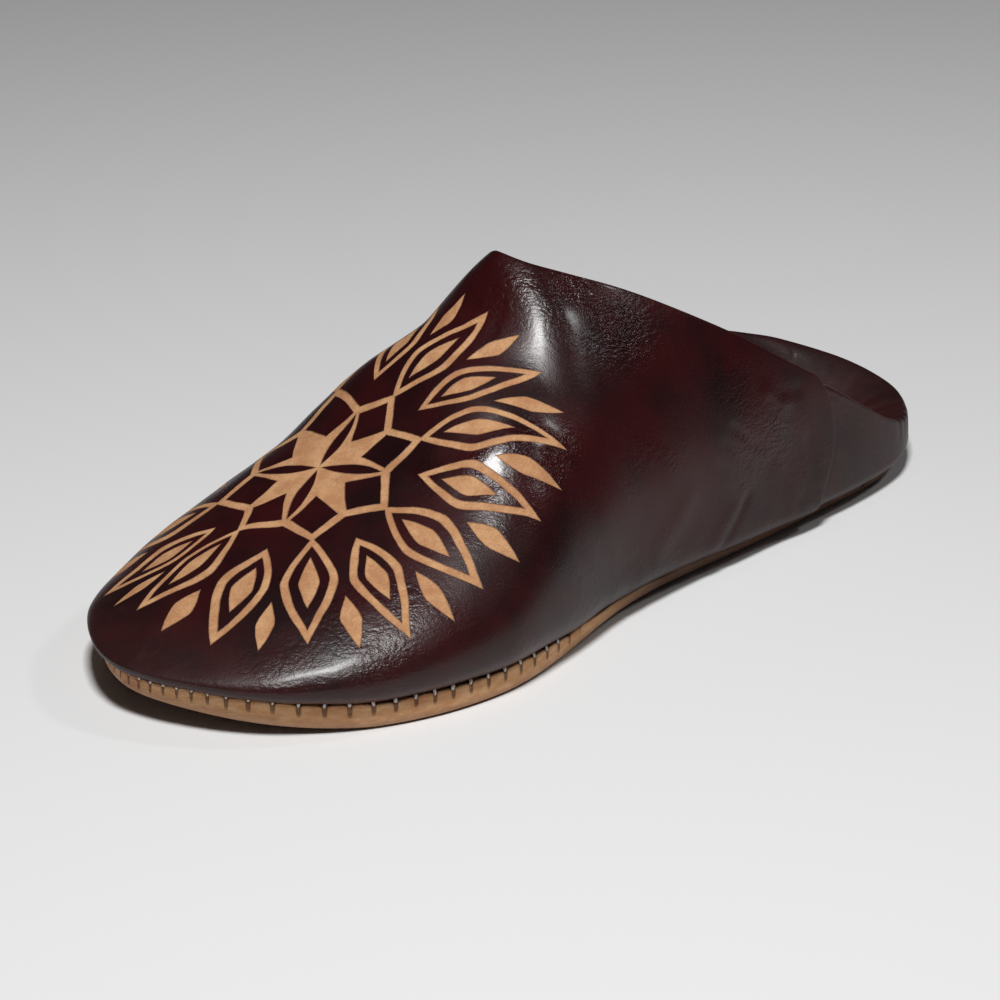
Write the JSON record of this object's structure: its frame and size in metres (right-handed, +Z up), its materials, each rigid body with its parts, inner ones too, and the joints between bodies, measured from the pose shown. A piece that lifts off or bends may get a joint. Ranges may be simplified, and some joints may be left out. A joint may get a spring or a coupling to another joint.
{
  "type": "babouche slipper",
  "caption": "Backless leather slipper with a rounded toe, a high vamp carved with a geometric rosette, a thin turned-up leather sole and a trodden-down back.",
  "frame": {"origin": "middle of the slipper's footprint box, on the floor under the sole", "axes": "+Z up, +Y toward the heel, -Y toward the toe, +X toward the outer side of a left foot"},
  "size_m": [0.105, 0.2724, 0.087],
  "materials": {
    "glazed_leather": "glossy dark red-brown glazed leather with a carved pattern cut through to tan",
    "tanned_leather": "matt tan vegetable leather",
    "insole_leather": "smooth matt brown leather"
  },
  "bodies": {
    "root": {"outsole": "tanned_leather", "insole": "insole_leather", "upper": "glazed_leather"}
  },
  "joints": []
}
